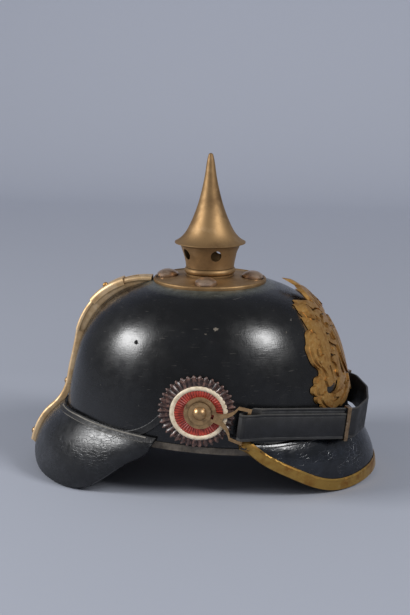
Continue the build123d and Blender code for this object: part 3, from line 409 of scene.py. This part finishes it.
def headed(spot, heading):
    return strapPlace @ Matrix.Translation(spot) @ Matrix.Rotation(heading, 4, "Z")


def ahead(heading):
    return Vector((cos(heading), sin(heading), 0))


def strapOutline(low, high, front, back):    # a flat strap with rounded edges and a creased line near each
    edge, groove, half = strap["edge"], strap["groove"], strap["grooveHalf"]
    sink = front + strap["grooveDepth"] * (1 if back > front else -1)
    lip = front + edge * (1 if back > front else -1)
    far = back - edge * (1 if back > front else -1)
    middle = (low + high) / 2
    return [(0, y, z) for y, z in (
        (lip, high), (front, high - edge), (front, high - groove + half), (sink, high - groove),
        (front, high - groove - half), (front, middle), (front, low + groove + half), (sink, low + groove),
        (front, low + groove - half), (front, low + edge), (lip, low), (far, low), (back, low + edge),
        (back, middle), (back, high - edge), (far, high),
    )]


def makeChinstrap():
    shape = bmesh.new()
    corner, nose = (Vector((*strap[key], 0)) for key in ("corner", "nose"))
    heading = strapHeading
    last = strapStart + ahead(heading) * strap["start"]
    places = [headed(last, heading)]
    noseHeading = atan2(nose.y - corner.y, nose.x - corner.x)
    turns = ((corner, strap["cornerRadius"], noseHeading), (nose, strap["noseRadius"], pi / 2))
    for point, radius, after in turns:
        foot = point - ahead(heading) * radius * tan((after - heading) / 2)
        count = max(round((foot - last).length / strap["step"]), 1)
        places += [headed(last.lerp(foot, step / count), heading) for step in range(1, count + 1)]
        centre = foot + ahead(heading + pi / 2) * radius
        for step in range(1, 7):
            angle = heading + (after - heading) * step / 6
            last = centre - ahead(angle + pi / 2) * radius
            places.append(headed(last, angle))
        heading = after
    places += [headed(last.lerp(Vector((last.x, 0, 0)), step / 3), heading) for step in (1, 2, 3)]
    half = strap["width"] / 2
    layAlong(shape, strapOutline(strap["rise"] - half, strap["rise"] + half, 0, strap["layer"]), places)
    cap = [face for face in shape.faces if all(abs(vert.co.y) < 0.001 for vert in face.verts)]
    bmesh.ops.delete(shape, geom=cap, context="FACES_ONLY")
    intoStrap = strapPlace.inverted()
    for vert in shape.verts:    # old leather never lies quite flat
        flat = intoStrap @ vert.co
        run = (flat - strapStart).dot(ahead(strapHeading)) - strap["start"]
        sway = noise.noise(Vector((run * 0.03, flat.z * 0.02, 0))) * strap["wave"] * min(max(run / 16, 0), 1)
        vert.co = strapPlace @ (flat + Vector((sway, -sway, 0)) * min(abs(flat.y) / 40, 1))
    geom = shape.verts[:] + shape.edges[:] + shape.faces[:]
    bmesh.ops.mirror(shape, geom=geom, axis="Y", merge_dist=0.01)
    finishPiece("chinstrapLeather", shape, "strapLeather", "chinstrap", ["chinstrap"])


def makeReturn(side):
    shape = bmesh.new()
    out = ahead(strapHeading - pi / 2)
    run = (strap["buckleAt"] - lugBar.x) / cos(strapHeading)
    half = strap["layer"] / 2
    back, eye = strap["eyeBack"], strap["eyeOut"]
    stations = [(run - (run - 14) * step / 12, half, 180) for step in range(13)]
    stations += [(11, half + 0.3, 173), (6.5, eye - 0.8, 166), (2.5, eye - 0.1, 174)]
    for step in range(9):
        turn = 90 + 22.5 * step
        stations.append((back + eye * cos(radians(turn)), eye * sin(radians(turn)), turn + 90))
    stations += [(2.5, 0.1 - eye, 366), (6.5, 0.8 - eye, 374), (11, -half - 0.3, 367), (12.4, -half, 360)]
    places = []
    for along, outward, turn in stations:
        spot = strapStart + ahead(strapHeading) * along + out * outward
        places.append(headed(spot, strapHeading - radians(turn)))
    reach = strap["returnWidth"] / 2
    layAlong(shape, strapOutline(-reach, reach, half, -half), places)
    intoStrap = strapPlace.inverted()
    for vert in shape.verts:    # the inner leg widens into the main strap
        flat = intoStrap @ vert.co
        leg = (flat - strapStart).dot(ahead(strapHeading))
        if 1 < leg < 13 and (flat - strapStart).dot(out) < 0.15:
            grow = min((leg - 1) / 5, 1) * (strap["width"] / strap["returnWidth"] - 1)
            flat.z += (flat.z + reach) * grow
            vert.co = strapPlace @ flat
    if side > 0:
        flipSide(shape)
    word = "left" if side > 0 else "right"
    finishPiece(word + "ReturnLeather", shape, "strapLeather", "chinstrap", [word + "_strap_return"])


makeChinstrap()
for side in (-1, 1):
    makeReturn(side)
print("straps made")


# cockades: pleated rosettes of three painted rings on a flat back
cockade = {
    "centre": (1.3, 72.3), "back": 97.15, "rimPleats": 38, "middlePleats": 50,    # sits a little askew of its post
    "rimShift": (-1.5, 1.0), "oval": (1.03, 0.975),    # the rim has slipped, and all of it is bent a little oval
    "rim": (    # radius, height, pleat depth, how far the valleys draw in
        (19.0, 0.0, 0.0, 0.0), (27.6, 0.0, 0.0, 1.2), (29.2, 0.4, 0.1, 2.3), (29.4, 0.8, 0.3, 2.3),
        (28.9, 1.25, 0.6, 1.8), (27.2, 1.6, 0.85, 0.6), (24.8, 1.75, 0.85, 0.0), (22.3, 1.95, 0.7, 0.0),
        (19.0, 1.6, 0.2, 0.0), (19.0, 0.0, 0.0, 0.0),
    ),
    "ring": (
        (18.2, 0.0), (18.2, 1.9), (18.6, 2.5), (19.3, 2.85), (20.2, 2.9), (21.0, 2.65), (21.7, 2.2), (21.7, 0.0),
    ),
    "middle": (
        (6.0, 0.0, 0.0, 0.0), (18.3, 0.0, 0.0, 0.0), (18.3, 2.0, 0.25, 0.0), (17.4, 2.15, 0.32, 0.0),
        (15.0, 1.85, 0.3, 0.0), (12.3, 1.7, 0.25, 0.0), (10.0, 1.8, 0.18, 0.0), (9.0, 2.3, 0.05, 0.0),
        (6.0, 2.3, 0.0, 0.0), (6.0, 0.0, 0.0, 0.0),
    ),
}


def cockadePlace(side, shift=(0, 0)):
    spot = (cockade["centre"][0] + shift[0], side * cockade["back"], cockade["centre"][1] + shift[1])
    oval = Matrix.Diagonal((*cockade["oval"], 1, 1))
    return Matrix.Translation(spot) @ Matrix.Rotation(-side * pi / 2, 4, "X") @ oval


def makePleated(name, side, path, count, finish, stands=(), shift=(0, 0)):
    shape = bmesh.new()
    rows = len(path) - 1
    bmesh.ops.create_grid(shape, x_segments=rows, y_segments=6, size=1)
    for vert in shape.verts:
        radius, height, depth, draw = path[round((vert.co.x + 1) / 2 * rows)]
        crest = cos(pi * vert.co.y)
        angle = vert.co.y * pi / count
        radius -= draw * (1 - crest) / 2
        vert.co = (radius * cos(angle), radius * sin(angle), height + depth * crest)
    geom = shape.verts[:] + shape.edges[:] + shape.faces[:]
    bmesh.ops.spin(
        shape, geom=geom, cent=(0, 0, 0), axis=(0, 0, 1), angle=2 * pi * (count - 1) / count,
        steps=count - 1, use_duplicate=True)
    bmesh.ops.transform(shape, matrix=cockadePlace(side, shift), verts=shape.verts)
    finishPiece(name, shape, finish, "helmet", stands, sharp=70)


def makeRing(name, side, finish):
    shape = bmesh.new()
    corners = [shape.verts.new((radius, 0, height)) for radius, height in cockade["ring"]]
    edges = [shape.edges.new(pair) for pair in zip(corners, corners[1:] + corners[:1])]
    bmesh.ops.spin(
        shape, geom=corners + edges, cent=(0, 0, 0), axis=(0, 0, 1), angle=2 * pi, steps=96, use_merge=True)
    bmesh.ops.transform(shape, matrix=cockadePlace(side), verts=shape.verts)
    finishPiece(name, shape, finish, "helmet", sharp=60)


coloursOfSide = {-1: ("blackPaint", "ivoryPaint", "redPaint"), 1: ("ivoryPaint", "bluePaint", "ivoryPaint")}
for side, word in ((-1, "right"), (1, "left")):
    outer, ring, middle = coloursOfSide[side]
    makePleated(
        word + "CockadeRim", side, cockade["rim"], cockade["rimPleats"], outer, [word + "_cockade"],
        cockade["rimShift"])
    makeRing(word + "CockadeRing", side, ring)
    makePleated(word + "CockadeMiddle", side, cockade["middle"], cockade["middlePleats"], middle)
print("cockades made")


# lining: a leather sweatband whose ten tongues lean in towards the crown
lining = {
    "front": 115.2, "back": 117.4, "halfWidth": 96.0, "shoulder": 56.0, "top": 162.0, "inset": 4.8, "lean": 0.18,
    "leanFrom": 40.5, "foot": 43.5, "footFall": 0.0647, "tongues": 10, "tongueFrom": 62.0, "tongueTop": 111.5,
    "notchHalf": 15.0, "tip": 9.0, "wall": 1.5, "ripple": 0.8, "eyelet": 2.2, "eyeletTube": 0.5,
    "rise": (-0.29, 0, 0.118, 0.235, 0.353, 0.471, 0.589), "length": (1, 1, 0.984, 0.963, 0.939, 0.908, 0.862),
    "width": (1, 1, 0.988, 0.972, 0.952, 0.921, 0.876),
}


def liningSpot(angle, height):
    share = (height - lining["shoulder"]) / (lining["top"] - lining["shoulder"])
    inset = lining["inset"] + lining["lean"] * max(height - lining["leanFrom"], 0)
    halfLength = (lining["front"] + lining["back"]) / 2 * between(share, lining["rise"], lining["length"]) - inset
    halfWidth = lining["halfWidth"] * between(share, lining["rise"], lining["width"]) - inset
    reach = 1 / sqrt((cos(angle) / halfLength) ** 2 + (sin(angle) / halfWidth) ** 2)
    return Vector((reach * cos(angle) - (lining["back"] - lining["front"]) / 2, reach * sin(angle), height)), reach


def tonguePoint(middle, across, up):
    top = lining["tongueTop"] - lining["tip"] * (1 - sqrt(max(1 - across * across, 0)))
    rough, reach = liningSpot(middle, lining["tongueFrom"])
    foot = lining["foot"] - lining["footFall"] * rough.x
    height = foot + (top - foot) * up
    notch = max(height - lining["tongueFrom"], 0) / (lining["tongueTop"] - lining["tongueFrom"]) * lining["notchHalf"]
    spot, reach = liningSpot(middle, height)
    angle = middle + across * (pi / lining["tongues"] - notch / reach)
    spot, reach = liningSpot(angle, height)
    wave = noise.noise(Vector((angle * 3, height * 0.05, 1.7))) * lining["ripple"] * up
    draw = 1 - wave / reach
    return Vector((spot.x * draw, spot.y * draw, spot.z))


def makeLining():
    shape = bmesh.new()
    for index in range(lining["tongues"]):
        middle = 2 * pi * (index + 0.5) / lining["tongues"]
        grid = bmesh.ops.create_grid(shape, x_segments=12, y_segments=18, size=1)["verts"]
        for vert in grid:
            vert.co = tonguePoint(middle, vert.co.x, (vert.co.y + 1) / 2)
    finishPiece(
        "sweatbandLeather", shape, "liningLeather", "helmet", ["sweatband"], 50, lining["wall"])


def makeEyelets():
    shape = bmesh.new()
    for index in range(lining["tongues"]):
        middle = 2 * pi * (index + 0.5) / lining["tongues"]
        spot = tonguePoint(middle, 0, 0.9)
        above = tonguePoint(middle, 0, 0.95)
        aside = tonguePoint(middle, 0.2, 0.9)
        place = facing(spot, above - spot, (above - spot).cross(aside - spot))
        section = (
            place @ Matrix.Translation((lining["eyelet"], 0, 0)) @ Matrix.Diagonal((1, 1, 2.2, 1))
            @ Matrix.Rotation(pi / 2, 4, "X")
        )
        ring = bmesh.ops.create_circle(shape, segments=8, radius=lining["eyeletTube"], matrix=section)["verts"]
        loop = ring + list({edge for vert in ring for edge in vert.link_edges})
        axis = place.to_3x3() @ Vector((0, 0, 1))
        bmesh.ops.spin(
            shape, geom=loop, cent=place.translation, axis=axis, angle=2 * pi, steps=24, use_merge=True)
    finishPiece("sweatbandEyelets", shape, "postBrass", "helmet")


makeLining()
makeEyelets()


# wedges: split leather pegs pushed through the plate's two staples
wedge = {"out": 36.0, "up": 104.0, "size": (3.4, 6.0, 22.0), "taper": 0.6, "inset": 2.2}


def makeWedges():
    shape = bmesh.new()
    for side in (-1, 1):
        start = toFrame @ Vector((0, side * wedge["out"], wedge["up"]))
        found, spot, normal, index = nodes["shell"].ray_cast(start, Vector((1, 0, 0)))
        inward = -normal if normal.x > 0 else normal
        place = facing(toFrame.inverted() @ spot + inward * wedge["inset"], Vector((0, 0, 1)), inward)
        peg = bmesh.ops.create_cube(shape, size=1, matrix=Matrix.Diagonal((*wedge["size"][::-1], 1)))["verts"]
        low = [vert for vert in peg if vert.co.x < 0]
        bmesh.ops.scale(shape, vec=(1, wedge["taper"], wedge["taper"]), verts=low)
        bmesh.ops.transform(shape, matrix=place, verts=peg)
        edges = list({edge for vert in peg for edge in vert.link_edges})
        bmesh.ops.bevel(shape, geom=edges, offset=0.5, segments=3, profile=0.5, affect="EDGES", material=-1)
    finishPiece("wedgeLeather", shape, "liningLeather", "helmet", ["plate_wedges"])


makeWedges()
print("lining and wedges made")


# seams: waxed stitches along the two welts, linen ones round the sweatband's foot
seams = {
    "rear": {"height": 53.0, "turn": 180, "angles": (0, 10, 21, 35, 50, 61, 69, 75),
             "shares": (1, 1.01, 1.03, 1.045, 1.01, 0.985, 0.96, 0.935), "drop": 3.3, "out": 4.0},
    "front": {"height": 50.0, "turn": 0, "angles": (0, 11, 21, 32, 46, 60, 68, 73.5),
              "shares": (1, 0.996, 0.98, 0.95, 0.91, 0.9, 0.92, 0.96), "drop": 2.6, "out": 4.0},
    "spacing": 3.4, "length": 2.5, "width": 0.7, "ridge": 0.6,
    "ridges": {    # drop below the seam's top, leather
        "rear": ((0.3, "wornEdge"), (2.4, "weltLeather"), (5.2, "wornEdge")), "front": ((1.6, "weltLeather"),),
    },
}


def makeStitches(name, places, finish):
    shape = bmesh.new()
    size = Matrix.Diagonal((seams["length"] / 2, seams["width"] / 2, seams["width"] / 2, 1))
    for place in places:
        bmesh.ops.create_uvsphere(shape, u_segments=6, v_segments=4, radius=1, matrix=place @ size)
    finishPiece(name, shape, finish, "helmet", sharp=80)


def weltPlaces(word, drop):
    seam = seams[word]
    middle = (lining["front"] - lining["back"]) / 2
    reach = (lining["front"] + lining["back"]) / 2 + seam["out"]
    chain = []
    for step in range(-72, 73):
        angle = step
        height = seam["height"] * between(abs(angle), seam["angles"], seam["shares"]) - drop
        turned = radians(seam["turn"] + angle)
        spot = Vector((middle + reach * cos(turned), (lining["halfWidth"] + seam["out"]) * sin(turned), height))
        chain.append(nearest(word + "_visor_welt", spot)[0])
    places = []
    spots = evenly(chain, seams["spacing"])
    for before, after in zip(spots, spots[1:]):
        spot = nearest(word + "_visor_welt", (before + after) / 2)[0]
        places.append(facing(spot, after - before, Vector((spot.x - middle, spot.y, 30))))
    return places


def makeRidges(word):
    for index, (drop, finish) in enumerate(seams["ridges"][word]):
        shape = bmesh.new()
        size = seams["ridge"]
        outline = [(0, size * cos(radians(turn)), size * sin(radians(turn))) for turn in range(0, 360, 60)]
        layAlong(shape, outline, weltPlaces(word, drop))
        finishPiece(word + "WeltRidge" + str(index + 1), shape, finish, "helmet", sharp=80)


def footPlaces():
    chain = []
    for step in range(361):
        spot, reach = liningSpot(radians(step), lining["foot"])
        chain.append(Vector((spot.x * 0.992, spot.y * 0.992, lining["foot"] - lining["footFall"] * spot.x + 2.5)))
    spots = evenly(chain, seams["spacing"] * 1.4)
    return [
        facing((before + after) / 2, after - before, Vector((-before.x, -before.y, 0)))
        for before, after in zip(spots, spots[1:])
    ]


for word in ("rear", "front"):
    makeStitches(word + "WeltStitches", weltPlaces(word, seams[word]["drop"]), "waxedThread")
    makeRidges(word)
makeStitches("sweatbandStitches", footPlaces(), "linenThread")


# side straps: a narrow strip of leather that climbs from the rear seam to under each cockade
strip = {
    "line": ((-66, 48.5), (-60, 49.6), (-52, 52.3), (-44.5, 55.6), (-37, 60.2), (-30.5, 66), (-25.5, 72.5)),
    "half": 2.9, "height": 0.9, "lip": 0.5,
}


def makeStrip(side):
    shape = bmesh.new()
    chain = [nearest("shell", (x, side * (lining["halfWidth"] + 4), z))[0] for x, z in strip["line"]]
    spots = evenly(chain, 3.0)
    places = []
    for before, after in zip(spots, spots[1:]):
        spot, normal = nearest("shell", (before + after) / 2)
        normal = normal if normal.y * side > 0 else -normal
        places.append(facing(spot, after - before, normal))
    half, high, lip = strip["half"], strip["height"], strip["lip"]
    outline = [(0, -half, -0.3), (0, half, -0.3), (0, half, lip), (0, half - lip, high),
               (0, 0, high * 0.8), (0, lip - half, high), (0, -half, lip)]
    layAlong(shape, outline, places)
    name = "leftSideStrip" if side > 0 else "rightSideStrip"
    finishPiece(name, shape, "weltLeather", "helmet")


for side in (-1, 1):
    makeStrip(side)
print("seams and strips made")


# trim lip: the brass edging laps further up the visor, so a copy of its channel slides up the slope
trimLip = {"reach": 2.4, "low": 3.0, "high": 7.0, "outside": 200.0}


def makeTrimLip():
    shape = bmesh.new()
    shape.from_mesh(nodes["front_visor_trim"].data)
    bmesh.ops.transform(shape, matrix=toFrame.inverted(), verts=shape.verts)
    for vert in shape.verts:
        away = Vector((vert.co.x, vert.co.y, 0)).normalized()
        spots = []
        for height in (trimLip["low"], trimLip["high"]):
            start = toFrame @ (away * trimLip["outside"] + Vector((0, 0, vert.co.z + height)))
            found, spot, normal, index = nodes["front_visor"].ray_cast(start, -away)
            spots.append(toFrame.inverted() @ spot if found else None)
        slope = spots[1] - spots[0] if None not in spots else Vector((0, 0, 1))
        vert.co += slope.normalized() * trimLip["reach"]
    finishPiece("frontTrimLip", shape, "trimBrass", "helmet", sharp=40)


makeTrimLip()
print("trim lip made")


# studio: a pale floor swept up behind, two large soft lamps and a dim even world
studio = {"floor": "#9da1ac", "back": "#c4c8d4", "depth": 1.6, "width": 6.0, "height": 3.0, "bend": 0.5, "world": 0.42}


def makeStudio():
    shape = bmesh.new()
    half = studio["width"] / 2
    first = [shape.verts.new((x, -2.5, 0)) for x in (-half, half)]
    edges = [shape.edges.new(first)]
    moves = [(0, 2.5 + studio["depth"], 0)]
    for step in range(12):
        low, high = radians(7.5 * step), radians(7.5 * (step + 1))
        moves.append((0, studio["bend"] * (sin(high) - sin(low)), studio["bend"] * (cos(low) - cos(high))))
    moves.append((0, 0, studio["height"]))
    for move in moves:
        grown = bmesh.ops.extrude_edge_only(shape, edges=edges)["geom"]
        edges = [part for part in grown if isinstance(part, bmesh.types.BMEdge)]
        bmesh.ops.translate(shape, verts=onlyVerts(grown), vec=move)
    mesh = bpy.data.meshes.new("studioFloor")
    shape.to_mesh(mesh)
    shape.free()
    mesh.polygons.foreach_set("use_smooth", [True] * len(mesh.polygons))
    floor = bpy.data.objects.new("studioFloor", mesh)
    bpy.context.scene.collection.objects.link(floor)
    paper, tree, shader, place = newFinish("floorPaper", {"Roughness": 0.9})
    depth = addNode(tree, "ShaderNodeSeparateXYZ", {}, {"Vector": place}).outputs["Y"]
    far = spread(tree, depth, 0.3, studio["depth"])    # the paper is coloured paler towards the back
    tree.links.new(blendColours(tree, far, studio["floor"], studio["back"]), shader.inputs["Base Color"])
    mesh.materials.append(paper)


def makeLamp(name, at, aim, size, power):
    lamp = bpy.data.lights.new(name, "AREA")
    lamp.shape = "RECTANGLE"
    lamp.size, lamp.size_y = size
    lamp.energy = power
    holder = bpy.data.objects.new(name, lamp)
    bpy.context.scene.collection.objects.link(holder)
    holder.location = at
    holder.rotation_euler = (Vector(aim) - Vector(at)).to_track_quat("-Z", "Y").to_euler()


makeStudio()
makeLamp("backLeftSoftbox", (-1.42, -0.52, 0.86), (0, 0, 0.12), (0.65, 0.42), 22.5)
makeLamp("frontRightSoftbox", (1.42, -0.92, 1.36), (0, 0, 0.12), (0.6, 0.5), 28)
world = bpy.data.worlds.new("softWorld")
bpy.context.scene.world = world
world.use_nodes = True
world.node_tree.nodes["Background"].inputs["Color"].default_value = fromHex("#c8ccd4")
world.node_tree.nodes["Background"].inputs["Strength"].default_value = studio["world"]
bpy.context.scene.view_settings.view_transform = "Standard"

# camera: a long lens a little above the helmet, turned slightly to its front
camera = {"azimuth": 5.5, "elevation": 11.8, "distance": 1.1504, "target": (0.00175, 0, 0.134), "roll": 0.4, "lens": 81.95}


def makeCamera():
    turn, rise = radians(camera["azimuth"]), radians(camera["elevation"])
    away = Vector((sin(turn) * cos(rise), -cos(turn) * cos(rise), sin(rise)))
    lens = bpy.data.cameras.new("photoCamera")
    lens.lens = camera["lens"]
    lens.sensor_width = 36
    lens.sensor_height = 36
    lens.sensor_fit = "VERTICAL"
    holder = bpy.data.objects.new("photoCamera", lens)
    bpy.context.scene.collection.objects.link(holder)
    look = (-away).to_track_quat("-Z", "Y").to_matrix().to_4x4()
    place = Matrix.Translation(Vector(camera["target"]) + away * camera["distance"])
    holder.matrix_world = place @ look @ Matrix.Rotation(radians(camera["roll"]), 4, "Z")
    bpy.context.scene.camera = holder


makeCamera()
print("camera and lamps set")
